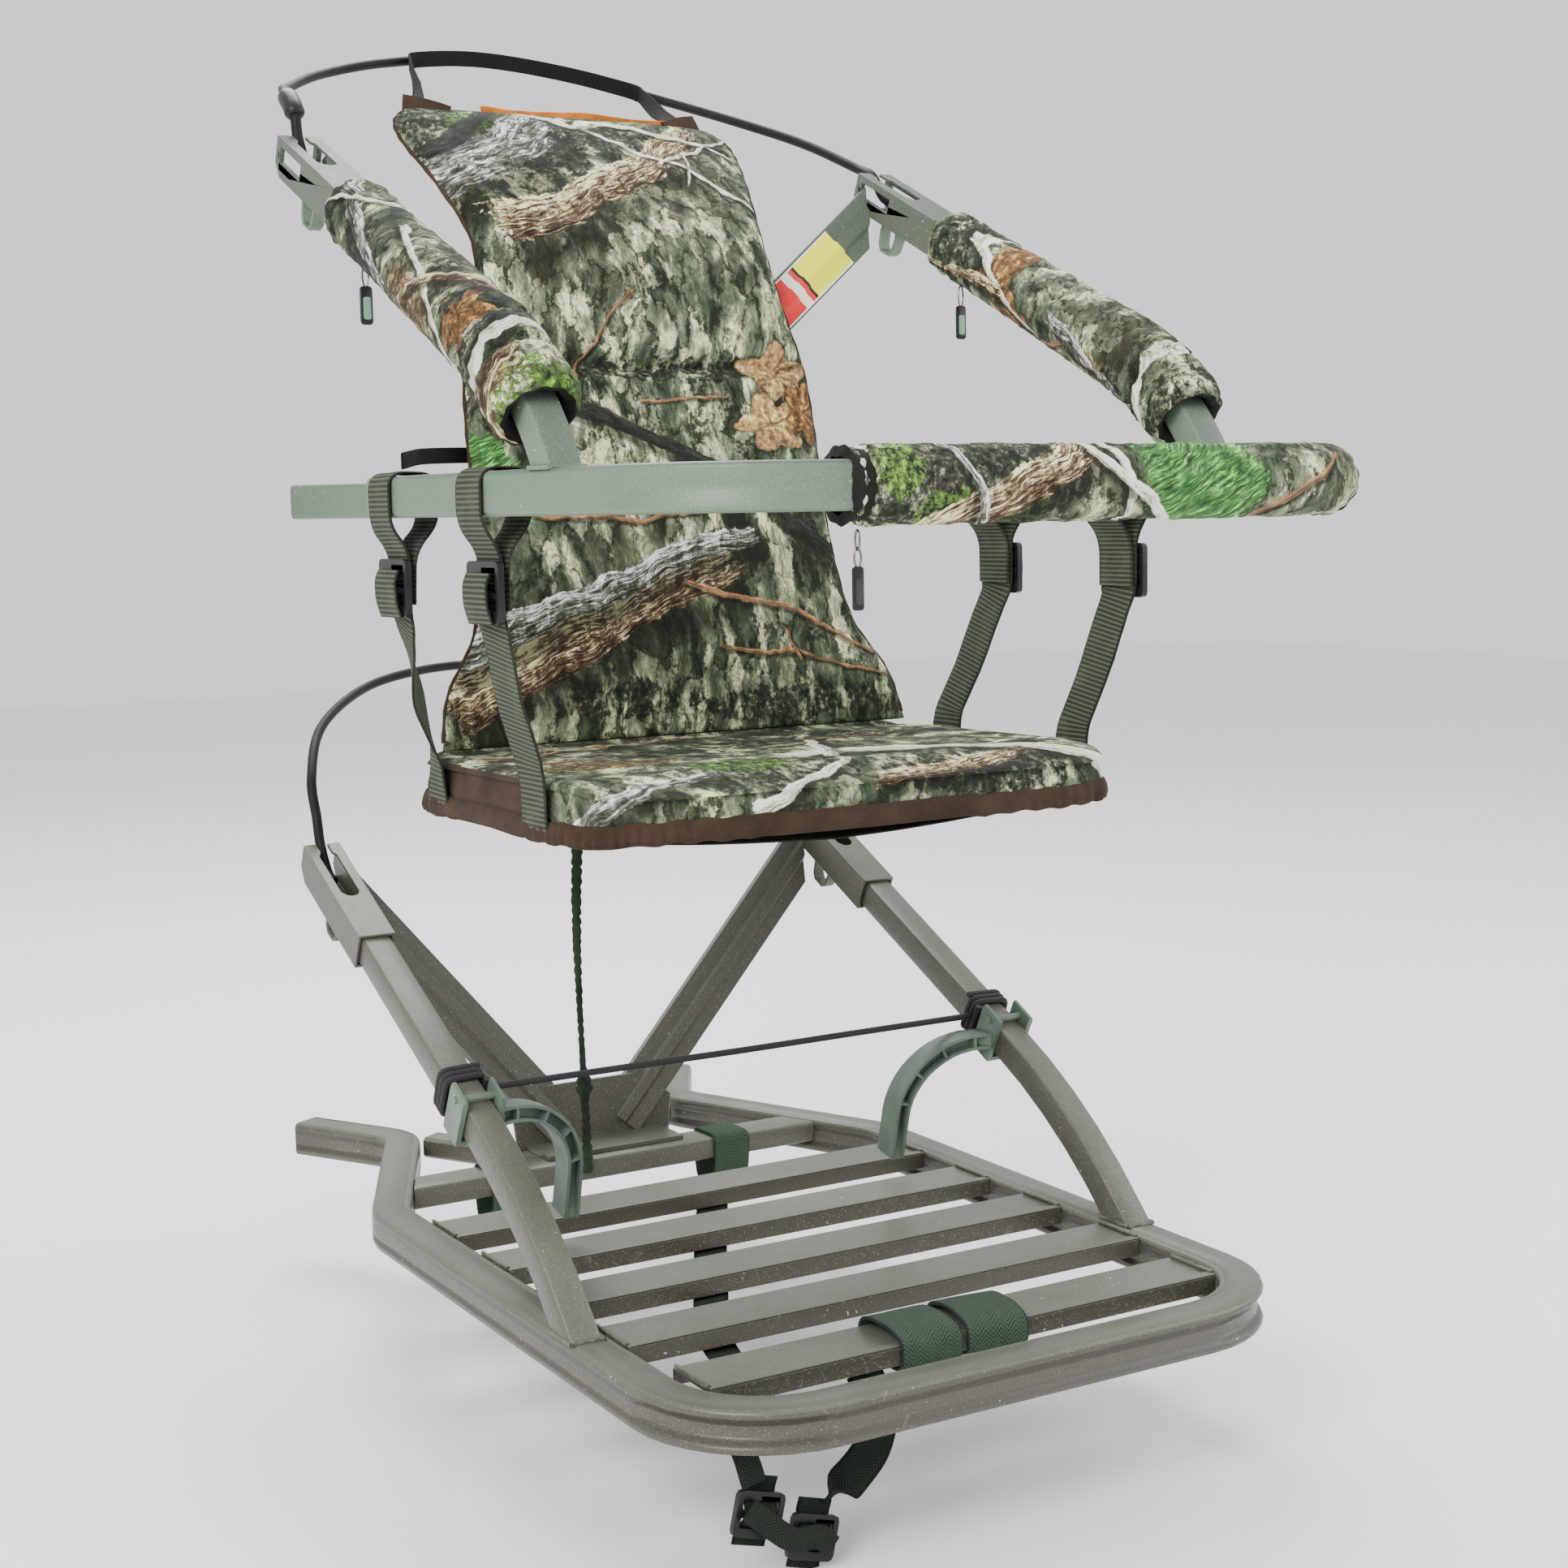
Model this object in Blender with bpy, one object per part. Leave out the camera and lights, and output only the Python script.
"""Climbing tree stand: a foot platform and a hanging seat, each on its own tube frame, arms and tree cable.

The sitter faces -Y and the trunk stands at +Y. The dimensions count y from the middle of the platform and z from
the top of its rail. The last lines move the whole object so that its origin is where the trunk is gripped.
"""

import math

import bmesh
import bpy
from mathutils import Matrix, Vector

# Rail extrusion, the same for both frames
RAIL_W = 0.032
RAIL_H = 0.030
RAIL_CORNER = 0.004
GAP = 0.0004

# Rail plans, as the centre line of the right half: front corner, side bend, apex on the trunk, horn end
PLATFORM_PLAN = ((0.2355, -0.284), (0.2355, 0.2596), (0.138, 0.479), (0.195, 0.578))
SEAT_PLAN = ((0.262, -0.338), (0.262, 0.140), (0.138, 0.419), (0.195, 0.518))
PLATFORM_RADIUS = 0.084
SEAT_RADIUS = 0.090
BEND_RADIUS = 0.070
APEX_RADIUS = 0.045
CORNER_GROOVE = 0.0045

# The seat frame hangs this much higher, with its trunk end this much nearer the sitter
SEAT_FRAME_Z = 0.5873
SEAT_FRAME_SHIFT = -0.060

# Slats
SLAT_COUNT = 5
SLAT_WIDTH = 0.054
SLAT_PITCH = 0.0985
SLAT_THICK = 0.012
SLAT_TOP = -0.002
FIRST_SLAT_Y = 0.187
SLAT_HALF_X = 0.2188

# Crossbar and the V that bears on the trunk
CROSSBAR_Y = 0.326
CROSSBAR_DEPTH = 0.036
CROSSBAR_HEIGHT = 0.019
V_WIDTH = 0.0254
V_TIP = (0.1163, 0.4656)
V_ROOT = (0.0560, 0.3640)

TRUNK_Y = 0.470

# Arms: 24.5 mm square tube, each pair standing on its rail
ARM_SIZE = 0.0245
PLATFORM_ARM_X = 0.2385
PLATFORM_ARM_BASE = (-0.0945, 47.0)
PLATFORM_ARM_LINE = (0.0853, 0.482)
PLATFORM_ARM_RADIUS = 0.50
PLATFORM_BRACKET_Y = 0.2643
SEAT_ARM_X = 0.2654
SEAT_ARM_BASE = (-0.160, 57.0)
SEAT_ARM_LINE = (0.1150, 0.460)
SEAT_ARM_RADIUS = 0.22
SEAT_BRACKET_Y = 0.1790

# Cable brackets
BRACKET_LENGTH = 0.138
SEAT_BRACKET_LENGTH = 0.131
BRACKET_W = 0.031
SEAT_BRACKET_W = 0.034
BRACKET_H = 0.0304
BRACKET_CAVITY = 0.0254
ARM_IN_BRACKET = 0.045
LOCK_AT = 0.082
LOCK_PIN_R = 0.0035

CABLE_R = 0.0042
SHOCK_CORD_R = 0.0026
WEB_THICK = 0.002

# Padded pieces
SEAT_HALF_W = 0.2285
SEAT_FRONT = -0.112
SEAT_REAR = 0.208
SEAT_BOTTOM = 0.336
SEAT_TOP = 0.379
SLEEVE_R = 0.0280
SLEEVE_LOW_R = 0.0335
SLEEVE_BORE = 0.0182
FRONT_SLEEVE_R = 0.0256
FRONT_SLEEVE_BORE = 0.0214
FRONT_SLEEVE_LEFT = -0.168
FRONT_SLEEVE_TURN = 52.0

STRAP_Y = (-0.053, 0.110)
STRAP_LEAN = (0.018, 0.028)
STRAP_W = 0.042
BUCKLE_Z = 0.507

for old in list(bpy.data.objects):
    bpy.data.objects.remove(old, do_unlink=True)

PARTS = bpy.data.collections.new("climbing_tree_stand")
bpy.context.scene.collection.children.link(PARTS)


# Materials


def material(name, colour, roughness=0.5, metallic=0.0):
    made = bpy.data.materials.new(name)
    made.use_nodes = True
    shader = made.node_tree.nodes["Principled BSDF"]
    shader.inputs["Base Color"].default_value = (*colour, 1.0)
    shader.inputs["Roughness"].default_value = roughness
    shader.inputs["Metallic"].default_value = metallic
    return made


TAUPE = material("powder_coat_taupe", (0.27, 0.26, 0.215), 0.55, 0.3)
SAGE = material("powder_coat_sage", (0.31, 0.37, 0.30), 0.55, 0.3)
SAGE_PLASTIC = material("stirrup_plastic", (0.20, 0.28, 0.22), 0.45)
GREEN_WEB = material("foot_webbing", (0.09, 0.17, 0.12), 0.9)
OLIVE_WEB = material("seat_webbing", (0.10, 0.12, 0.07), 0.9)
BLACK_WEB = material("black_webbing", (0.02, 0.02, 0.02), 0.9)
BLACK_RUBBER = material("cable_coating", (0.02, 0.02, 0.022), 0.5)
BLACK_PLASTIC = material("black_plastic", (0.015, 0.015, 0.015), 0.4)
CAMO = material("camouflage_fabric", (0.20, 0.21, 0.14), 0.9)
STEEL = material("zinc_steel", (0.55, 0.55, 0.52), 0.35, 0.9)


# Mesh helpers


def solid(name, vertices, faces, mat, origin=None):
    """One closed mesh object, with its normals outward and its origin where asked."""
    mesh = bpy.data.meshes.new(name)
    mesh.from_pydata([tuple(v) for v in vertices], [], faces)
    work = bmesh.new()
    work.from_mesh(mesh)
    bmesh.ops.remove_doubles(work, verts=work.verts, dist=1e-6)
    bmesh.ops.recalc_face_normals(work, faces=work.faces)
    if work.calc_volume() < 0:
        bmesh.ops.reverse_faces(work, faces=work.faces)
    work.to_mesh(mesh)
    work.free()
    mesh.materials.append(mat)
    made = bpy.data.objects.new(name, mesh)
    PARTS.objects.link(made)
    if origin is not None:
        set_origin(made, origin)
    return made


def set_origin(obj, point):
    point = Vector(point)
    obj.data.transform(Matrix.Translation(-point))
    obj.location = point


def boolean(obj, other, operation):
    """Cuts or joins for good, and removes the other object."""
    cut = obj.modifiers.new("cut", "BOOLEAN")
    cut.operation = operation
    cut.solver = "EXACT"
    cut.object = other
    bpy.context.view_layer.update()
    graph = bpy.context.evaluated_depsgraph_get()
    mesh = bpy.data.meshes.new_from_object(obj.evaluated_get(graph))
    obj.modifiers.clear()
    old = obj.data
    obj.data = mesh
    mesh.name = obj.name
    bpy.data.meshes.remove(old)
    bpy.data.objects.remove(other, do_unlink=True)
    while len(obj.data.materials) > 1:
        obj.data.materials.pop()
    return obj


def rounded_rectangle(width, height, radius, steps=2):
    points = []
    for cx, cy, start in ((1, -1, -90), (1, 1, 0), (-1, 1, 90), (-1, -1, 180)):
        for k in range(steps + 1):
            angle = math.radians(start + 90 * k / steps)
            x = cx * (width / 2 - radius) + radius * math.cos(angle)
            y = cy * (height / 2 - radius) + radius * math.sin(angle)
            points.append((x, y))
    return points


def circle(radius, sides, turn=0.5):
    points = []
    for k in range(sides):
        angle = 2 * math.pi * (k + turn) / sides
        points.append((radius * math.cos(angle), radius * math.sin(angle)))
    return points


def fillet(points, radii, step=12.0):
    """The polyline with each inner corner replaced by an arc of the given radius."""
    points = [Vector(p) for p in points]
    path = [points[0]]
    for before, corner, after, radius in zip(points, points[1:], points[2:], radii):
        a = (before - corner).normalized()
        b = (after - corner).normalized()
        turn = math.pi - a.angle(b)
        if radius <= 0 or turn < 1e-4:
            path.append(corner)
            continue
        reach = radius * math.tan(turn / 2)
        centre = corner + (a + b).normalized() * (radius / math.cos(turn / 2))
        first = corner + a * reach - centre
        last = corner + b * reach - centre
        count = max(2, math.ceil(math.degrees(turn) / step))
        for k in range(count + 1):
            near = math.sin(turn * (1 - k / count))
            far = math.sin(turn * k / count)
            path.append(centre + (first * near + last * far) / math.sin(turn))
    path.append(points[-1])
    return path


def smooth(points, per_span=4):
    """A Catmull-Rom curve through the points."""
    points = [Vector(p) for p in points]
    ends = [2 * points[0] - points[1], *points, 2 * points[-1] - points[-2]]
    path = []
    for p0, p1, p2, p3 in zip(ends, ends[1:], ends[2:], ends[3:]):
        for k in range(per_span):
            t = k / per_span
            square = t * t
            cube = square * t
            path.append(
                0.5
                * (
                    2 * p1
                    + (p2 - p0) * t
                    + (2 * p0 - 5 * p1 + 4 * p2 - p3) * square
                    + (3 * p1 - p0 - 3 * p2 + p3) * cube
                )
            )
    path.append(points[-1])
    return path


def frames(path, up, closed):
    """Tangent, side, up and mitre direction at each point. With no up given, the frame is carried along the path."""
    count = len(path)
    found = []
    carried = None
    for i, point in enumerate(path):
        last = path[i - 1] if i or closed else None
        after = path[(i + 1) % count] if i < count - 1 or closed else None
        d0 = (point - last).normalized() if last is not None else None
        d1 = (after - point).normalized() if after is not None else None
        d0 = d1 if d0 is None else d0
        d1 = d0 if d1 is None else d1
        tangent = (d0 + d1).normalized()
        if up is None:
            if carried is None:
                carried = Vector((0, 0, 1)) if abs(tangent.z) < 0.9 else Vector((0, 1, 0))
            lift = carried
        else:
            lift = Vector(up[i]) if isinstance(up, list) else Vector(up)
        side = tangent.cross(lift).normalized()
        lift = side.cross(tangent).normalized()
        carried = lift
        bend = d1 - d0
        mitre = None
        if bend.length > 1e-6:
            mitre = (bend.normalized(), 1 / max(0.3, tangent.dot(d0)) - 1)
        found.append((side, lift, mitre))
    return found


def sweep(path, profile, up=None, closed=False):
    """Vertices and faces of a profile carried along a path. The profile is a list, or a function of the station."""
    path = [Vector(p) for p in path]
    vertices = []
    for i, (point, (side, lift, mitre)) in enumerate(zip(path, frames(path, up, closed))):
        section = profile(i) if callable(profile) else profile
        for u, v in section:
            offset = side * u + lift * v
            if mitre:
                offset += mitre[0] * (offset.dot(mitre[0]) * mitre[1])
            vertices.append(point + offset)
    around = len(vertices) // len(path)
    faces = []
    stations = len(path) if closed else len(path) - 1
    for i in range(stations):
        j = (i + 1) % len(path)
        for k in range(around):
            m = (k + 1) % around
            faces.append((i * around + k, i * around + m, j * around + m, j * around + k))
    if not closed:
        faces.append(tuple(range(around))[::-1])
        last = (len(path) - 1) * around
        faces.append(tuple(range(last, last + around)))
    return vertices, faces


def swept(name, path, profile, mat, up=None, closed=False, origin=None):
    vertices, faces = sweep(path, profile, up, closed)
    return solid(name, vertices, faces, mat, origin)


def sleeve(name, path, outer, bore, mat, sides=14):
    """A tube with an open bore along a path: outer may be a function of the station."""
    path = [Vector(p) for p in path]
    turned = frames(path, None, False)
    vertices = []
    for i, (point, (side, lift, _)) in enumerate(zip(path, turned)):
        for radius in (outer(i) if callable(outer) else outer, bore):
            for u, v in circle(radius, sides):
                vertices.append(point + side * u + lift * v)
    faces = []
    ring = 2 * sides
    for i in range(len(path) - 1):
        for k in range(sides):
            m = (k + 1) % sides
            a, b = i * ring, (i + 1) * ring
            faces.append((a + k, a + m, b + m, b + k))
            faces.append((a + sides + m, a + sides + k, b + sides + k, b + sides + m))
    last = (len(path) - 1) * ring
    for k in range(sides):
        m = (k + 1) % sides
        faces.append((k, sides + k, sides + m, m))
        faces.append((last + m, last + sides + m, last + sides + k, last + k))
    return solid(name, vertices, faces, mat)


def box(name, low, high, mat, matrix=None):
    corners = [
        Vector((x, y, z))
        for x in (low[0], high[0])
        for y in (low[1], high[1])
        for z in (low[2], high[2])
    ]
    if matrix is not None:
        corners = [matrix @ c for c in corners]
    faces = [(0, 1, 3, 2), (4, 6, 7, 5), (0, 4, 5, 1), (2, 3, 7, 6), (0, 2, 6, 4), (1, 5, 7, 3)]
    return solid(name, corners, faces, mat)


def prism(name, outline, low, high, mat, matrix):
    """An outline in the local x-y plane, extruded from low to high in local z."""
    count = len(outline)
    vertices = [matrix @ Vector((x, y, z)) for z in (low, high) for x, y in outline]
    faces = [tuple(range(count))[::-1], tuple(range(count, 2 * count))]
    for k in range(count):
        m = (k + 1) % count
        faces.append((k, m, count + m, count + k))
    return solid(name, vertices, faces, mat)


# Frames


def rail_path(plan, radius, z):
    """Centre line from the left horn, round the front, to the right horn."""
    corners = [(-x, y, z) for x, y in reversed(plan)] + [(x, y, z) for x, y in plan]
    radii = [APEX_RADIUS, BEND_RADIUS, radius, radius, BEND_RADIUS, APEX_RADIUS]
    return fillet(corners, radii, 10.0)


def rail_section(groove):
    """The extrusion: a rounded box with a bead on its inner top edge, and a dished outer face where it is bent."""
    w, h, r = RAIL_W / 2, RAIL_H / 2, RAIL_CORNER
    d = r * (1 - math.sqrt(0.5))
    return [
        (w - r, -h),
        (w - d, -h + d),
        (w, -h + r),
        (w - groove, -0.004),
        (w - groove, 0.004),
        (w, h - r),
        (w - d, h - d),
        (w - r, h),
        (-0.0085, h),
        (-0.0092, h - 0.0012),
        (-0.0106, h - 0.0012),
        (-0.0113, h),
        (-w + r, h),
        (-w + d, h - d),
        (-w, h - r),
        (-w, -h + r),
        (-w + d, -h + d),
        (-w + r, -h),
    ]


def rail(name, plan, radius, top, mat):
    path = rail_path(plan, radius, top - RAIL_H / 2)

    def section(i):
        dished = 0.0
        if 0 < i < len(path) - 1 and path[i].y < 0:
            a = (path[i] - path[i - 1]).normalized()
            b = (path[i + 1] - path[i]).normalized()
            dished = CORNER_GROOVE if a.angle(b) > 0.12 else 0.0
        return rail_section(dished)

    return swept(name, path, section, mat, up=(0, 0, 1))


def arm_path(base, line, radius, bracket_y, top):
    """Centre line of an arm in the y-z plane, from the rail to its end inside the bracket."""
    y0, angle = base
    rise = math.tan(math.radians(angle))
    corner_y = (line[0] + rise * y0) / (rise - line[1])
    along = Vector((0, 1, line[1])).normalized()
    front = Vector((0, bracket_y, line[0] + line[1] * bracket_y + top))
    end = front + along * ARM_IN_BRACKET
    corner = Vector((0, corner_y, line[0] + line[1] * corner_y + top))
    start = Vector((0, y0, top))
    return fillet([start, corner, end], [radius], 5.0), front, along


def shifted(path, x):
    return [Vector((x, p.y, p.z)) for p in path]


def arm(name, x, path, top, mat):
    """A square tube, with its foot cut level just above the rail."""
    longer = [path[0] + (path[0] - path[1]).normalized() * 0.02, *path]
    made = swept(
        name,
        shifted(longer, x),
        rounded_rectangle(ARM_SIZE, ARM_SIZE, 0.003, 2),
        mat,
        up=(0, -0.3, 1),
    )
    under = box("cutter", (x - 0.05, -0.3, top - 0.1), (x + 0.05, 0.3, top + GAP), mat)
    return boolean(made, under, "DIFFERENCE")


def bracket_matrix(x, front, along):
    """Local x across, local y along the arm, local z square to both."""
    across = Vector((1, 0, 0))
    normal = across.cross(along)
    turn = Matrix((across, along, normal)).transposed().to_4x4()
    return Matrix.Translation(Vector((x, front.y, front.z))) @ turn


def bracket(name, x, front, along, length, width, mat, windows):
    place = bracket_matrix(x, front, along)
    w, h = width / 2, BRACKET_H / 2
    turn = Matrix(((0, 0, 1, 0), (1, 0, 0, 0), (0, 1, 0, 0), (0, 0, 0, 1)))
    side = [
        (0.0, -h),
        (length - 0.012, -h),
        (length, -h + 0.009),
        (length, h),
        (0.0, h),
    ]
    made = prism(name, side, -w, w, mat, place @ turn)
    cavity = BRACKET_CAVITY / 2
    made = boolean(
        made,
        box("cutter", (-cavity, -0.02, -cavity), (cavity, length + 0.02, cavity), mat, place),
        "DIFFERENCE",
    )
    slot = [(-0.0049, length + 0.01), (-0.0049, length - 0.014), (-0.0075, length - 0.019)]
    for k in range(9):
        angle = math.radians(180 + 180 * k / 8)
        slot.append((0.0075 * math.cos(angle), 0.066 + 0.0075 * math.sin(angle)))
    slot += [(0.0075, length - 0.019), (0.0049, length - 0.014), (0.0049, length + 0.01)]
    made = boolean(made, prism("cutter", slot, 0.004, 0.03, mat, place), "DIFFERENCE")
    if windows:
        made = boolean(
            made,
            box("cutter", (-0.03, 0.074, -0.003), (0.03, 0.122, 0.0085), mat, place),
            "DIFFERENCE",
        )
    hole = prism(
        "cutter",
        circle(LOCK_PIN_R + 0.0006, 12),
        -0.03,
        -0.004,
        mat,
        place @ Matrix.Translation((0, LOCK_AT, 0)),
    )
    return boolean(made, hole, "DIFFERENCE")


def lock(name, x, front, along, mat):
    """A spring pin through the floor of the bracket, with a finger loop under it."""
    place = bracket_matrix(x, front, along) @ Matrix.Translation((0, LOCK_AT, 0))
    loop = [
        place @ Vector((0, y, z))
        for y, z in (
            (-0.011, -0.0185),
            (0.011, -0.0185),
            (0.0125, -0.024),
            (0.0105, -0.036),
            (0.006, -0.0405),
            (-0.006, -0.0405),
            (-0.0105, -0.036),
            (-0.0125, -0.024),
        )
    ]
    across = place.to_3x3() @ Vector((1, 0, 0))
    made = swept(name, loop, rounded_rectangle(0.0026, 0.011, 0.0008, 1), mat, up=across, closed=True)
    pin = prism("pin", circle(LOCK_PIN_R, 12), -0.0190, -0.0070, mat, place)
    made = boolean(made, pin, "UNION")
    set_origin(made, place @ Vector((0, 0, -0.0185)))
    return made


def rail_inner_x(y, plan):
    """Half the clear width between the tapering sides of the rail at y."""
    bend, apex = Vector(plan[1]), Vector(plan[2])
    along = (apex - bend).normalized()
    centre = bend.x + along.x / along.y * (y - bend.y)
    return centre - RAIL_W / 2 / along.y - GAP


def crossbar(name, plan, shift, top, mat):
    """A straight bar, its ends cut to the slope of the rail."""
    y = CROSSBAR_Y + shift
    z = top - 0.001 - CROSSBAR_HEIGHT / 2
    section = rounded_rectangle(CROSSBAR_DEPTH, CROSSBAR_HEIGHT, 0.003, 2)
    vertices, faces = sweep([(-1, y, z), (1, y, z)], section, up=(0, 0, 1))
    for v in vertices:
        v.x *= rail_inner_x(v.y, plan)
    return solid(name, vertices, faces, mat)


def v_bar(name, shift, top, mat):
    """One bent bar: out from each horn, in to the crossbar, and flat against its back."""
    z = top - 0.001 - CROSSBAR_HEIGHT / 2
    back = CROSSBAR_Y + CROSSBAR_DEPTH / 2 + V_WIDTH / 2 + GAP
    tip, root = Vector(V_TIP), Vector(V_ROOT)
    slope = (tip - root) / (tip.y - root.y)
    knee = root + slope * (back - root.y)
    half = [(knee.x, back), (V_TIP[0], V_TIP[1])]
    points = [(-x, y + shift, z) for x, y in reversed(half)] + [(x, y + shift, z) for x, y in half]
    path = fillet(points, [0.02, 0.02], 20.0)
    section = rounded_rectangle(V_WIDTH, CROSSBAR_HEIGHT, 0.003, 1)
    return swept(name, path, section, mat, up=(0, 0, 1))


def yoke(name, shift, top, head, edge, mat):
    """Two pressed channels up to the brackets, on one folded foot plate across the crossbar."""
    low_y = CROSSBAR_Y + 0.040 + shift
    foot = Vector((0.040, low_y, top + 0.029))
    head = Vector(head)
    axis = (head - foot).normalized()
    outline = [
        (-0.0200, -0.0110),
        (-0.0182, -0.0110),
        (-0.0182, -0.0020),
        (-0.0065, -0.0020),
        (-0.0035, 0.0015),
        (0.0035, 0.0015),
        (0.0065, -0.0020),
        (0.0182, -0.0020),
        (0.0182, -0.0110),
        (0.0200, -0.0110),
        (0.0200, 0.0000),
        (0.0072, 0.0000),
        (0.0042, 0.0035),
        (-0.0042, 0.0035),
        (-0.0072, 0.0000),
        (-0.0200, 0.0000),
    ]
    facing = Vector((-0.33, -1.0, 0.0)).normalized()
    begin = foot - axis * 0.020
    vertices, faces = sweep([begin, head], outline, up=facing)
    made = solid(name, vertices, faces, mat)
    mirrored = [Vector((-v.x, v.y, v.z)) for v in vertices]
    other = solid("left_half", mirrored, [tuple(reversed(f)) for f in faces], mat)
    made = boolean(made, other, "UNION")
    plate_y = low_y
    plate = [
        (-0.074, top - 0.0006),
        (0.074, top - 0.0006),
        (0.078, top + 0.030),
        (0.050, top + 0.054),
        (-0.050, top + 0.054),
        (-0.078, top + 0.030),
    ]
    standing = Matrix(((1, 0, 0, 0), (0, 0, -1, plate_y + 0.0035), (0, 1, 0, 0), (0, 0, 0, 1)))
    made = boolean(made, prism("plate", plate, 0.0, 0.0035, mat, standing), "UNION")
    flange = box(
        "flange",
        (-0.066, CROSSBAR_Y + shift - 0.006, top - 0.0006),
        (0.066, plate_y + 0.002, top + 0.0031),
        mat,
    )
    made = boolean(made, flange, "UNION")
    keep = 0.4
    under = box("cutter", (-keep, -keep, top - 0.1), (keep, keep * 2, top - 0.0006), mat)
    made = boolean(made, under, "DIFFERENCE")
    for sign in (-1, 1):
        far = box(
            "cutter",
            (min(sign * edge, sign * 0.5), -0.5, top - 0.1),
            (max(sign * edge, sign * 0.5), 1.0, top + 0.6),
            mat,
        )
        made = boolean(made, far, "DIFFERENCE")
    return made


def mirror_pair(base, build):
    """Builds the right piece and the left piece, in that order."""
    return build(base + "_right", 1), build(base + "_left", -1)


rail("platform_rail", PLATFORM_PLAN, PLATFORM_RADIUS, 0.0, TAUPE)
rail("seat_rail", SEAT_PLAN, SEAT_RADIUS, SEAT_FRAME_Z, SAGE)


def slat_section():
    """A shallow channel with a raised, ridged lip along its front edge (the local +u side)."""
    w, t = SLAT_WIDTH / 2, SLAT_THICK
    return [
        (w, -t),
        (w, 0.0006),
        (w - 0.0012, 0.0018),
        (w - 0.0085, 0.0018),
        (w - 0.0100, 0.0),
        (-w + 0.001, 0.0),
        (-w, -0.001),
        (-w, -t),
        (-w + 0.003, -t),
        (-w + 0.003, -0.003),
        (w - 0.003, -0.003),
        (w - 0.003, -t),
    ]


for number in range(SLAT_COUNT):
    y = FIRST_SLAT_Y - number * SLAT_PITCH
    reach = SLAT_HALF_X
    if number == SLAT_COUNT - 1:
        reach = SLAT_HALF_X - 0.009
    ends = [(-reach, y, SLAT_TOP), (reach, y, SLAT_TOP)]
    swept("slat_%d" % (number + 1), ends, slat_section(), TAUPE, up=(0, 0, 1))

crossbar("platform_crossbar", PLATFORM_PLAN, 0.0, 0.0, TAUPE)
crossbar("seat_crossbar", SEAT_PLAN, SEAT_FRAME_SHIFT, SEAT_FRAME_Z, SAGE)
v_bar("platform_v_bar", 0.0, 0.0, TAUPE)
v_bar("seat_v_bar", SEAT_FRAME_SHIFT, SEAT_FRAME_Z, SAGE)

platform_arm, platform_front, platform_along = arm_path(
    PLATFORM_ARM_BASE, PLATFORM_ARM_LINE, PLATFORM_ARM_RADIUS, PLATFORM_BRACKET_Y, 0.0
)
seat_arm, seat_front, seat_along = arm_path(
    SEAT_ARM_BASE, SEAT_ARM_LINE, SEAT_ARM_RADIUS, SEAT_BRACKET_Y, SEAT_FRAME_Z
)
for side_name, sign in (("right", 1), ("left", -1)):
    x = sign * PLATFORM_ARM_X
    arm("platform_arm_" + side_name, x, platform_arm, 0.0, TAUPE)
    bracket(
        "platform_bracket_" + side_name,
        x,
        platform_front,
        platform_along,
        BRACKET_LENGTH,
        BRACKET_W,
        TAUPE,
        False,
    )
    lock("platform_lock_" + side_name, x, platform_front, platform_along, STEEL)
    x = sign * SEAT_ARM_X
    arm("seat_arm_" + side_name, x, seat_arm, SEAT_FRAME_Z, SAGE)
    bracket(
        "seat_bracket_" + side_name,
        x,
        seat_front,
        seat_along,
        SEAT_BRACKET_LENGTH,
        SEAT_BRACKET_W,
        SAGE,
        True,
    )
    lock("seat_lock_" + side_name, x, seat_front, seat_along, SAGE)


def yoke_head(x, front, along, length):
    head = front + along * (length - 0.026)
    return x, head.y, head.z


yoke(
    "platform_yoke",
    0.0,
    0.0,
    yoke_head(PLATFORM_ARM_X, platform_front, platform_along, BRACKET_LENGTH),
    PLATFORM_ARM_X - BRACKET_W / 2 - GAP,
    TAUPE,
)
yoke(
    "seat_yoke",
    SEAT_FRAME_SHIFT,
    SEAT_FRAME_Z,
    yoke_head(SEAT_ARM_X, seat_front, seat_along, SEAT_BRACKET_LENGTH),
    SEAT_ARM_X - SEAT_BRACKET_W / 2 - GAP,
    SAGE,
)


# Tree cables


def cable_path(x, front, along, length, left_loop, right_loop, right_exit):
    """From inside one bracket, up through its notch, round the trunk and down into the other."""
    rear = front + along * length
    inside = [rear - along * 0.036, rear - along * 0.020 + Vector((0, 0, 0.001))]
    steep = [rear + Vector((0, -0.004, 0.013)), rear + Vector((0, 0.002, 0.034))]
    leave = [rear + Vector(p) for p in right_exit] if right_exit else steep
    left = [Vector((-x, p.y, p.z)) for p in inside + steep]
    left += [Vector((-px, py, pz)) for px, py, pz in left_loop]
    right = [Vector((x, p.y, p.z)) for p in inside + leave]
    right += [Vector(p) for p in right_loop]
    return smooth(left + right[::-1], 4)


def cord(name, path, radius, mat):
    """A round cord: a bevelled curve with closed ends."""
    curve = bpy.data.curves.new(name, "CURVE")
    curve.dimensions = "3D"
    curve.bevel_depth = radius
    curve.bevel_resolution = 2
    curve.use_fill_caps = True
    line = curve.splines.new("POLY")
    line.points.add(len(path) - 1)
    for point, at in zip(line.points, path):
        point.co = (at.x, at.y, at.z, 1.0)
    curve.materials.append(mat)
    made = bpy.data.objects.new(name, curve)
    PARTS.objects.link(made)
    return made


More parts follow.
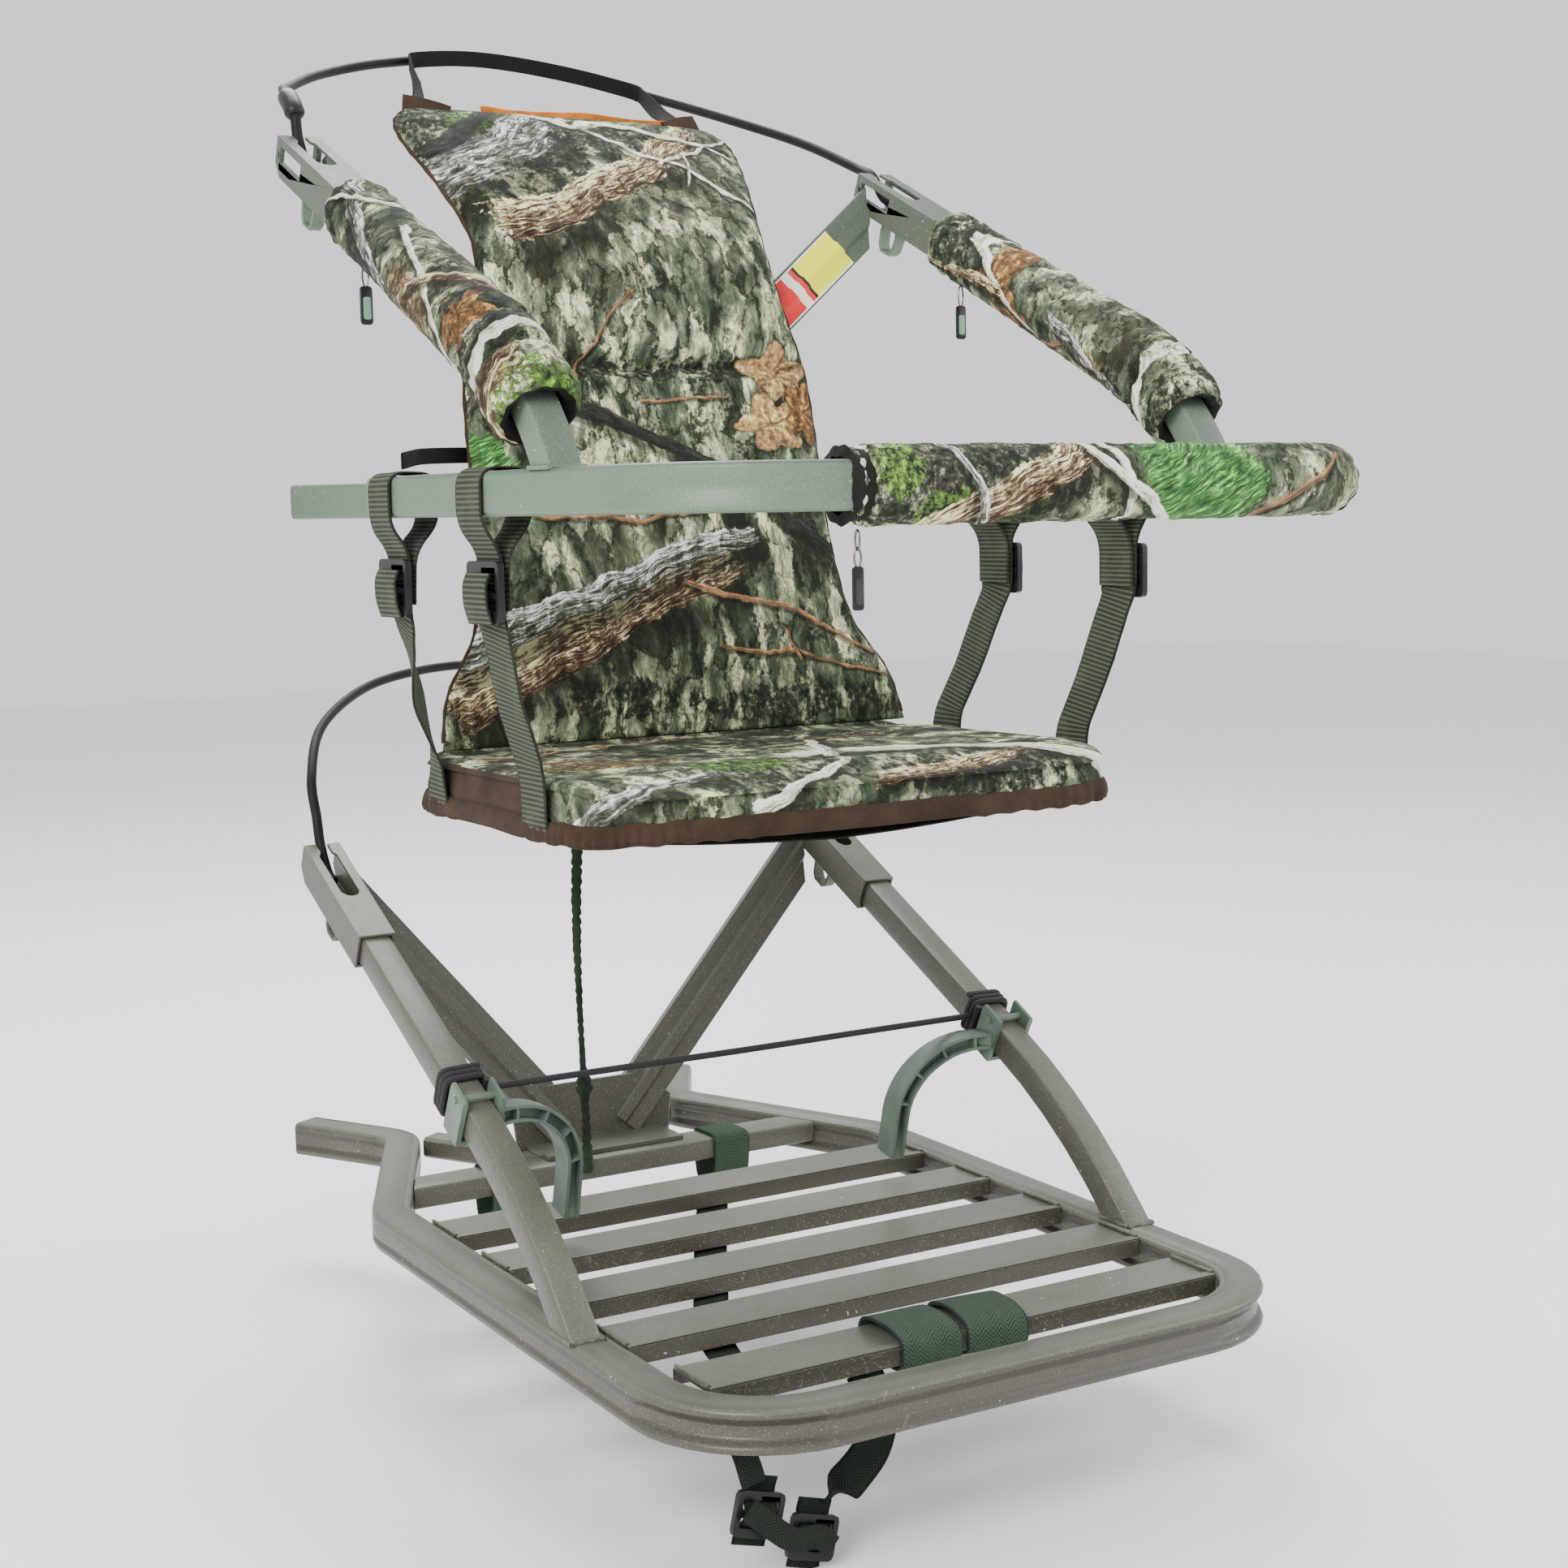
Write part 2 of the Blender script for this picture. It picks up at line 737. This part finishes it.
PLATFORM_LOOP = [(0.2370, 0.404, 0.340), (0.2060, 0.462, 0.377), (0.1380, 0.540, 0.402), (0.0680, 0.583, 0.413)]
SEAT_LOOP_LEFT = [(0.2600, 0.336, 0.894), (0.2280, 0.420, 0.912), (0.1700, 0.500, 0.940), (0.0900, 0.550, 0.964)]
SEAT_LOOP_RIGHT = [(0.2480, 0.381, 0.889), (0.2160, 0.440, 0.914), (0.1650, 0.502, 0.941), (0.0900, 0.550, 0.966)]
platform_loop = cable_path(
    PLATFORM_ARM_X,
    platform_front,
    platform_along,
    BRACKET_LENGTH,
    PLATFORM_LOOP,
    [*PLATFORM_LOOP, (0.0, 0.597, 0.416)],
    None,
)
cord("platform_cable", platform_loop, CABLE_R, BLACK_RUBBER)
seat_loop = cable_path(
    SEAT_ARM_X,
    seat_front,
    seat_along,
    SEAT_BRACKET_LENGTH,
    SEAT_LOOP_LEFT,
    [*SEAT_LOOP_RIGHT, (0.0, 0.567, 0.976)],
    [(0, -0.002, 0.012), (0, 0.024, 0.022)],
)
cord("seat_cable", seat_loop, CABLE_R, BLACK_RUBBER)
sleeve("cable_collar", seat_loop[11:16], 0.0082, CABLE_R + 0.0006, BLACK_RUBBER, 10)


# Stirrups, and the shock cord between them


def at_height(line, y, top):
    return line[0] + line[1] * y + top


def stirrup(name, sign):
    """A moulded clamp round the arm with an arched, ribbed finger that stands over the boot."""
    y = 0.072
    z = at_height(PLATFORM_ARM_LINE, y, 0.0) - 0.0016
    along = Vector((0, 1, 0.52)).normalized()
    place = bracket_matrix(sign * PLATFORM_ARM_X, Vector((0, y, z)), along)
    inner = ARM_SIZE / 2 + 0.0009
    outer = inner + 0.0042
    clamp = [
        (-outer, -inner - 0.0035),
        (outer, -inner - 0.0035),
        (outer, 0.0215),
        (outer - 0.0012, 0.0240),
        (inner + 0.0004, 0.0240),
        (inner, 0.0215),
        (inner, -inner),
        (-inner, -inner),
        (-inner, 0.0215),
        (-inner - 0.0004, 0.0240),
        (-outer + 0.0012, 0.0240),
        (-outer, 0.0215),
    ]
    turn = Matrix(((1, 0, 0, 0), (0, 0, -1, 0), (0, 1, 0, 0), (0, 0, 0, 1)))
    made = prism(name, clamp, -0.0125, 0.0125, SAGE_PLASTIC, place @ turn)
    start_x = PLATFORM_ARM_X - outer + 0.0015
    corners = [
        Vector((sign * start_x, y, z - 0.002)),
        Vector((sign * 0.1500, y + 0.012, z + 0.001)),
        Vector((sign * 0.1500, y + 0.036, 0.022)),
    ]
    path = fillet(corners, [0.064], 9.0)
    fine = []
    ribs = set()
    for i, (a, b) in enumerate(zip(path, path[1:])):
        fine.append(a)
        if i % 3 == 1 and i < len(path) - 2:
            mid = (a + b) / 2
            step = (b - a).normalized()
            for offset, thick in ((-0.0016, 0), (-0.0011, 1), (0.0011, 1), (0.0016, 0)):
                if thick:
                    ribs.add(len(fine))
                fine.append(mid + step * offset)
    fine.append(path[-1])

    def section(i):
        recess = 0.0004 if i in ribs or i in (0, len(fine) - 1) else 0.0085
        w, t = 0.011, 0.0065
        return [
            (w, -t),
            (w, -t + 0.0026),
            (w - recess, -t + 0.0026),
            (w - recess, t - 0.0026),
            (w, t - 0.0026),
            (w, t),
            (-w, t),
            (-w, t - 0.0026),
            (-w + recess, t - 0.0026),
            (-w + recess, -t + 0.0026),
            (-w, -t + 0.0026),
            (-w, -t),
        ]

    ups = []
    for i in range(len(fine)):
        a = fine[max(0, i - 1)]
        b = fine[min(len(fine) - 1, i + 1)]
        step = (b - a).normalized()
        ups.append(step.cross(Vector((0, 1, 0))).normalized() * sign)
    vertices, faces = sweep(fine, section, up=ups)
    arch = solid("arch", vertices, faces, SAGE_PLASTIC)
    made = boolean(made, arch, "UNION")
    bolt_turn = Matrix(((0, 0, 1, 0), (1, 0, 0, 0), (0, 1, 0, 0.0175), (0, 0, 0, 1)))
    bolt = prism("bolt", circle(0.0030, 8), -outer - 0.002, outer + 0.002, SAGE_PLASTIC, place @ bolt_turn)
    return boolean(made, bolt, "UNION")


mirror_pair("stirrup", stirrup)

cord_y = 0.094
cord_z = at_height(PLATFORM_ARM_LINE, cord_y, 0.0)
wrap = ARM_SIZE / 2 + SHOCK_CORD_R + 0.0006
arm_along = Vector((0, 1, PLATFORM_ARM_LINE[1])).normalized()
arm_normal = Vector((1, 0, 0)).cross(arm_along)
half_cord = []
turns = 2
for k in range(turns * 4 + 1):
    u, v = ((-1, 1), (1, 1), (1, -1), (-1, -1))[k % 4]
    slide = 0.0064 * (turns - k / 4)
    centre = Vector((PLATFORM_ARM_X, cord_y, cord_z)) + arm_along * slide
    half_cord.append(centre + Vector((u * wrap, 0, 0)) + arm_normal * (v * wrap))
half_cord = half_cord[:-1]
half_cord.append(Vector((PLATFORM_ARM_X - wrap - 0.001, cord_y - 0.002, cord_z + 0.002)))
half_cord.append(Vector((PLATFORM_ARM_X - wrap - 0.012, cord_y - 0.004, cord_z + 0.003)))
left_cord = [Vector((-p.x, p.y, p.z)) for p in half_cord]
cord_path = fillet(
    half_cord + left_cord[::-1],
    [0.003] * (len(half_cord) * 2 - 2),
    45.0,
)
cord("stirrup_cord", cord_path, SHOCK_CORD_R, BLACK_RUBBER)


# Foot webbing


def strip(name, path, width, mat, across, thick=WEB_THICK, closed=False, origin=None):
    """Flat webbing along a path, its width along the given direction."""
    section = [(-thick / 2, -width / 2), (thick / 2, -width / 2), (thick / 2, width / 2), (-thick / 2, width / 2)]
    return swept(name, path, section, mat, up=across, closed=closed, origin=origin)


def crossbar_loop(name, x):
    front = CROSSBAR_Y - CROSSBAR_DEPTH / 2 - 0.0020
    back = CROSSBAR_Y + CROSSBAR_DEPTH / 2 + 0.0020
    top, low = 0.0010, -CROSSBAR_HEIGHT - 0.0030
    ring = [
        (x, front, top),
        (x, back, top),
        (x, back, low),
        (x, back - 0.006, low - 0.022),
        (x, back - 0.018, low - 0.030),
        (x, front + 0.004, low - 0.020),
        (x, front, low),
    ]
    return strip(name, ring, 0.036, GREEN_WEB, (1, 0, 0), closed=True)


crossbar_loop("foot_loop_right", 0.108)
crossbar_loop("foot_loop_left", -0.108)


def slat_loop(name, x):
    y = FIRST_SLAT_Y - (SLAT_COUNT - 1) * SLAT_PITCH
    outline = [
        (-0.0295, -0.0140),
        (-0.0295, -0.0010),
        (-0.0250, 0.0042),
        (-0.0080, 0.0072),
        (0.0100, 0.0068),
        (0.0235, 0.0042),
        (0.0290, -0.0010),
        (0.0290, -0.0145),
        (0.0220, -0.0190),
        (0.0000, -0.0195),
        (-0.0225, -0.0190),
    ]
    ring = [(x, y + dy, z) for dy, z in outline]
    return strip(name, ring, 0.050, GREEN_WEB, (1, 0, 0), closed=True)


slat_loop("slat_loop_right", 0.016)
slat_loop("slat_loop_left", -0.040)

under = SLAT_TOP - SLAT_THICK - 0.0035
strip(
    "foot_strap",
    smooth(
        [
            (0.070, 0.270, under - 0.010),
            (0.030, 0.200, under),
            (-0.030, 0.095, under),
            (-0.085, -0.005, under),
            (-0.135, -0.100, under),
            (-0.150, -0.150, under - 0.003),
        ],
        3,
    ),
    0.026,
    GREEN_WEB,
    (1, 0.45, 0),
)


strip(
    "foot_tail_left",
    smooth(
        [
            (-0.1930, -0.2300, -0.0146),
            (-0.1945, -0.2400, -0.0340),
            (-0.1925, -0.2480, -0.0480),
            (-0.1890, -0.2500, -0.0625),
        ],
        3,
    ),
    0.018,
    GREEN_WEB,
    (1, 0, 0),
)
strip(
    "foot_tail_right",
    smooth(
        [
            (-0.0900, -0.2260, -0.0150),
            (-0.0860, -0.2380, -0.0380),
            (-0.0970, -0.2460, -0.0600),
            (-0.1200, -0.2495, -0.0780),
            (-0.1395, -0.2515, -0.0860),
        ],
        3,
    ),
    0.026,
    GREEN_WEB,
    (1, 0, 0.45),
)


def ladder_buckle(name, centre, across, down, width, height, thick, mat):
    """A flat frame with two slots and a bar between them."""
    across = Vector(across).normalized()
    down = Vector(down).normalized()
    normal = across.cross(down)
    turn = Matrix((across, down, normal)).transposed().to_4x4()
    place = Matrix.Translation(Vector(centre)) @ turn
    made = prism(name, rounded_rectangle(width, height, 0.004, 2), -thick / 2, thick / 2, mat, place)
    for sign in (-1, 1):
        y = sign * height * 0.19
        slot = box(
            "cutter",
            (-width / 2 + 0.0045, y - height * 0.105, -0.02),
            (width / 2 - 0.0045, y + height * 0.105, 0.02),
            mat,
            place,
        )
        made = boolean(made, slot, "DIFFERENCE")
    return made


ladder_buckle(
    "foot_buckle_left",
    (-0.1870, -0.2505, -0.0830),
    (1, 0, -0.30),
    (-0.30, -0.1, -1),
    0.036,
    0.030,
    0.005,
    BLACK_PLASTIC,
)
ladder_buckle(
    "foot_buckle_right",
    (-0.1500, -0.2560, -0.1050),
    (1, 0, -0.30),
    (-0.30, -0.1, -1),
    0.036,
    0.030,
    0.005,
    BLACK_PLASTIC,
)


# Sleeves over the seat frame's front bar and arms

corner_x = SEAT_PLAN[0][0] - SEAT_RADIUS
corner_y = SEAT_PLAN[0][1] + SEAT_RADIUS
front_z = SEAT_FRAME_Z - RAIL_H / 2
sleeve_path = [Vector((FRONT_SLEEVE_LEFT, SEAT_PLAN[0][1], front_z))]
for k in range(6):
    angle = math.radians(FRONT_SLEEVE_TURN * k / 5)
    sleeve_path.append(
        Vector((corner_x + SEAT_RADIUS * math.sin(angle), corner_y - SEAT_RADIUS * math.cos(angle), front_z))
    )
sleeve("front_sleeve", sleeve_path, FRONT_SLEEVE_R, FRONT_SLEEVE_BORE, CAMO)


def arm_sleeve(name, sign):
    """From just above the rail to the bracket."""
    low = SEAT_FRAME_Z + 0.034
    chosen = [p for p in seat_arm if p.z > low and p.y < seat_front.y - 0.008]
    first = None
    for a, b in zip(seat_arm, seat_arm[1:]):
        if a.z <= low < b.z:
            first = a.lerp(b, (low - a.z) / (b.z - a.z))
    final = seat_front - seat_along * 0.003
    path = [first, *chosen, final.lerp(chosen[-1], 0.5), final]

    def outer(i):
        share = i / (len(path) - 1)
        return SLEEVE_LOW_R + (SLEEVE_R - SLEEVE_LOW_R) * min(1.0, share * 1.3)

    return sleeve(name, shifted(path, sign * SEAT_ARM_X), outer, SLEEVE_BORE, CAMO)


mirror_pair("arm_sleeve", arm_sleeve)


def zip_pull(name, pivot, chain, tab_w, tab_h):
    """A chain link and a flat tab, hanging from a slider."""
    pivot = Vector(pivot)
    stations = [
        (-0.0004, 0.0022, 0.0018),
        (-chain, 0.0022, 0.0018),
        (-chain - 0.001, tab_w, 0.0030),
        (-chain - tab_h + 0.001, tab_w, 0.0030),
        (-chain - tab_h, tab_w * 0.8, 0.0024),
    ]
    path = [pivot + Vector((0, 0, z)) for z, _, _ in stations]

    def section(i):
        return rounded_rectangle(stations[i][2], stations[i][1], 0.0006, 1)

    return swept(name, path, section, STEEL, up=(1, 0, 0), origin=pivot)


pull_y = 0.160
pull_lean = math.cos(math.atan(SEAT_ARM_LINE[1]))
pull_z = at_height(SEAT_ARM_LINE, pull_y, SEAT_FRAME_Z) - SLEEVE_R / pull_lean - 0.002
zip_pull("zip_pull_right", (SEAT_ARM_X, pull_y, pull_z), 0.016, 0.0095, 0.028)
zip_pull("zip_pull_left", (-SEAT_ARM_X, pull_y, pull_z), 0.016, 0.0095, 0.028)
zip_pull(
    "zip_pull_front",
    (FRONT_SLEEVE_LEFT + 0.012, SEAT_PLAN[0][1], front_z - FRONT_SLEEVE_R - 0.001),
    0.021,
    0.0075,
    0.026,
)


# Seat, backrest and the webbing that carries them


def seat_cushion():
    """A pad with rounded plan corners, a crowned top and soft edges."""
    rows = [(0.0, 0.955), (0.12, 0.992), (0.5, 1.0), (0.82, 0.975), (0.95, 0.90)]
    half_y = (SEAT_REAR - SEAT_FRONT) / 2
    centre_y = (SEAT_REAR + SEAT_FRONT) / 2
    height = SEAT_TOP - SEAT_BOTTOM
    outline = []
    count = 32
    for k in range(count):
        angle = 2 * math.pi * (k + 0.5) / count
        c, s = math.cos(angle), math.sin(angle)
        power = 0.22
        outline.append(
            (math.copysign(abs(c) ** power, c), math.copysign(abs(s) ** power, s))
        )
    vertices = []
    for level, scale in rows:
        for u, v in outline:
            x = u * (SEAT_HALF_W - (1 - scale) * 0.12)
            y = centre_y + v * (half_y - (1 - scale) * 0.12)
            vertices.append(Vector((x, y, SEAT_BOTTOM + height * level * (1.0 - 0.12 * (v + 1) / 2))))
    faces = []
    for r in range(len(rows) - 1):
        for k in range(count):
            m = (k + 1) % count
            faces.append((r * count + k, r * count + m, (r + 1) * count + m, (r + 1) * count + k))
    faces.append(tuple(range(count))[::-1])
    top_ring = (len(rows) - 1) * count
    inner = len(vertices)
    for u, v in outline:
        vertices.append(
            Vector((u * SEAT_HALF_W * 0.5, centre_y + v * half_y * 0.5, SEAT_BOTTOM + height * (1.02 - 0.06 * (v + 1) / 2)))
        )
    for k in range(count):
        m = (k + 1) % count
        faces.append((top_ring + k, top_ring + m, inner + m, inner + k))
    middle = len(vertices)
    vertices.append(Vector((0, centre_y, SEAT_BOTTOM + height * 1.0)))
    for k in range(count):
        faces.append((inner + k, inner + (k + 1) % count, middle))
    return solid("seat_cushion", vertices, faces, CAMO)


seat_cushion()

BACK_CURVE = [
    (0.1740, 0.3808),
    (0.184, 0.420),
    (0.195, 0.465),
    (0.207, 0.520),
    (0.218, 0.570),
    (0.229, 0.622),
    (0.239, 0.675),
    (0.247, 0.725),
    (0.264, 0.775),
    (0.306, 0.825),
    (0.347, 0.862),
    (0.368, 0.882),
    (0.383, 0.895),
]
BACK_HALF_W = [0.205, 0.196, 0.172, 0.163, 0.160, 0.160, 0.156, 0.142, 0.135, 0.146, 0.157, 0.156, 0.140]
BACK_THICK = [0.016, 0.030, 0.036, 0.036, 0.034, 0.036, 0.030, 0.036, 0.038, 0.038, 0.034, 0.028, 0.014]


def backrest():
    """A shaped pad, waisted in the middle, on a curve that leans back to the trunk."""
    lanes = [-1.0, -0.93, -0.7, -0.35, 0.0, 0.35, 0.7, 0.93, 1.0]
    puff = [0.22, 0.62, 0.92, 1.0, 1.0, 1.0, 0.92, 0.62, 0.22]
    vertices = []
    points = [Vector((0, y, z)) for y, z in BACK_CURVE]
    for i, (point, half, thick) in enumerate(zip(points, BACK_HALF_W, BACK_THICK)):
        a, b = points[max(0, i - 1)], points[min(len(points) - 1, i + 1)]
        along = (b - a).normalized()
        normal = along.cross(Vector((1, 0, 0))).normalized()
        for sign in (1, -1):
            order = zip(lanes, puff) if sign > 0 else zip(lanes[::-1], puff[::-1])
            for u, swell in order:
                vertices.append(point + Vector((u * half, 0, 0)) + normal * (sign * swell * thick / 2))
    around = 2 * len(lanes)
    faces = []
    for i in range(len(points) - 1):
        for k in range(around):
            m = (k + 1) % around
            faces.append((i * around + k, i * around + m, (i + 1) * around + m, (i + 1) * around + k))
    faces.append(tuple(range(around))[::-1])
    last = (len(points) - 1) * around
    faces.append(tuple(range(last, last + around)))
    return solid("backrest", vertices, faces, CAMO, origin=(0, BACK_CURVE[0][0], BACK_CURVE[0][1]))


backrest()

SEAT_SIDE = SEAT_PLAN[0][0]
RAIL_OUT = SEAT_SIDE + RAIL_W / 2 + 0.0022
RAIL_IN = SEAT_SIDE - RAIL_W / 2 - 0.0022
RAIL_TOP = SEAT_FRAME_Z + 0.0022
RAIL_LOW = SEAT_FRAME_Z - RAIL_H - 0.0022


def seat_strap(name, sign, y, lean):
    """Over the side rail, both legs together behind the buckle, then down past the seat and under its edge."""
    low = y + lean
    outline = [
        (0.2622, y, BUCKLE_Z - 0.012),
        (0.2618, y, BUCKLE_Z + 0.026),
        (RAIL_IN, y, RAIL_LOW - 0.003),
        (RAIL_IN, y, RAIL_TOP),
        (RAIL_OUT, y, RAIL_TOP),
        (RAIL_OUT, y, RAIL_LOW - 0.003),
        (0.2662, y, BUCKLE_Z + 0.026),
        (0.2658, y, BUCKLE_Z - 0.016),
        (0.2342, low, SEAT_BOTTOM + 0.052),
        (0.2320, low, SEAT_BOTTOM + 0.040),
        (0.2310, low, SEAT_BOTTOM - 0.0020),
        (0.2100, low, SEAT_BOTTOM - 0.0032),
    ]
    path = [(sign * x, py, z) for x, py, z in outline]
    return strip(name, path, STRAP_W, OLIVE_WEB, (0, 1, 0))


for label, y, lean in (("front", STRAP_Y[0], STRAP_LEAN[0]), ("rear", STRAP_Y[1], STRAP_LEAN[1])):
    for side_name, sign in (("right", 1), ("left", -1)):
        seat_strap("seat_strap_%s_%s" % (label, side_name), sign, y, lean)
        ladder_buckle(
            "strap_buckle_%s_%s" % (label, side_name),
            (sign * 0.2702, y, BUCKLE_Z),
            (0, 1, 0),
            (0, 0, -1),
            0.052,
            0.042,
            0.005,
            BLACK_PLASTIC,
        )

SLING_Y = STRAP_Y[0] + STRAP_LEAN[0]
strip(
    "seat_sling",
    smooth(
        [
            (-0.2060, SLING_Y, SEAT_BOTTOM - 0.0032),
            (-0.1400, SLING_Y, SEAT_BOTTOM - 0.0075),
            (0.0, SLING_Y, SEAT_BOTTOM - 0.0130),
            (0.1400, SLING_Y, SEAT_BOTTOM - 0.0075),
            (0.2060, SLING_Y, SEAT_BOTTOM - 0.0032),
        ],
        3,
    ),
    STRAP_W,
    OLIVE_WEB,
    (0, 1, 0),
)

def hanger_strap():
    """Black webbing from the backrest's top corners, up and along the sitter's side of the seat cable."""
    along_cable = []
    for i in range(1, len(seat_loop) - 1):
        point = seat_loop[i]
        if not -0.088 < point.x < 0.160 or point.y < 0.4:
            continue
        step = (seat_loop[i + 1] - seat_loop[i - 1]).normalized()
        inward = Vector((step.y, -step.x, 0)).normalized()
        along_cable.append(point + inward * (CABLE_R + 0.0018))
    first, last = along_cable[0], along_cable[-1]
    left_tab = Vector((-0.128, 0.3905, 0.8990))
    right_tab = Vector((0.128, 0.3905, 0.8990))
    path = [left_tab, left_tab.lerp(first, 0.5) + Vector((0.004, 0, -0.004)), *along_cable]
    path += [last.lerp(right_tab, 0.5) + Vector((-0.002, 0, -0.004)), right_tab]
    return strip("hanger_strap", path, 0.014, BLACK_WEB, (0, 0, 1))


hanger_strap()

strip(
    "back_strap",
    fillet(
        [
            (-0.2600, STRAP_Y[1] + 0.004, 0.5985),
            (-0.1900, 0.2440, 0.6060),
            (-0.0600, 0.2610, 0.6060),
        ],
        [0.05],
        15.0,
    ),
    0.012,
    BLACK_WEB,
    (0, 0, 1),
)

strip(
    "tether",
    smooth(
        [
            (-0.036, CROSSBAR_Y - CROSSBAR_DEPTH / 2 - 0.0030, -0.012),
            (-0.038, CROSSBAR_Y - CROSSBAR_DEPTH / 2 - 0.0040, 0.060),
            (-0.044, 0.298, 0.200),
            (-0.046, 0.284, 0.320),
            (-0.044, 0.276, 0.460),
            (-0.042, CROSSBAR_Y + SEAT_FRAME_SHIFT, 0.5640),
        ],
        4,
    ),
    0.010,
    OLIVE_WEB,
    (1, 0, 0),
    thick=0.004,
)


# The row's origin: the middle of the V that bears on the trunk, level with the top of the platform rail

for made in PARTS.objects:
    made.location.y -= TRUNK_Y
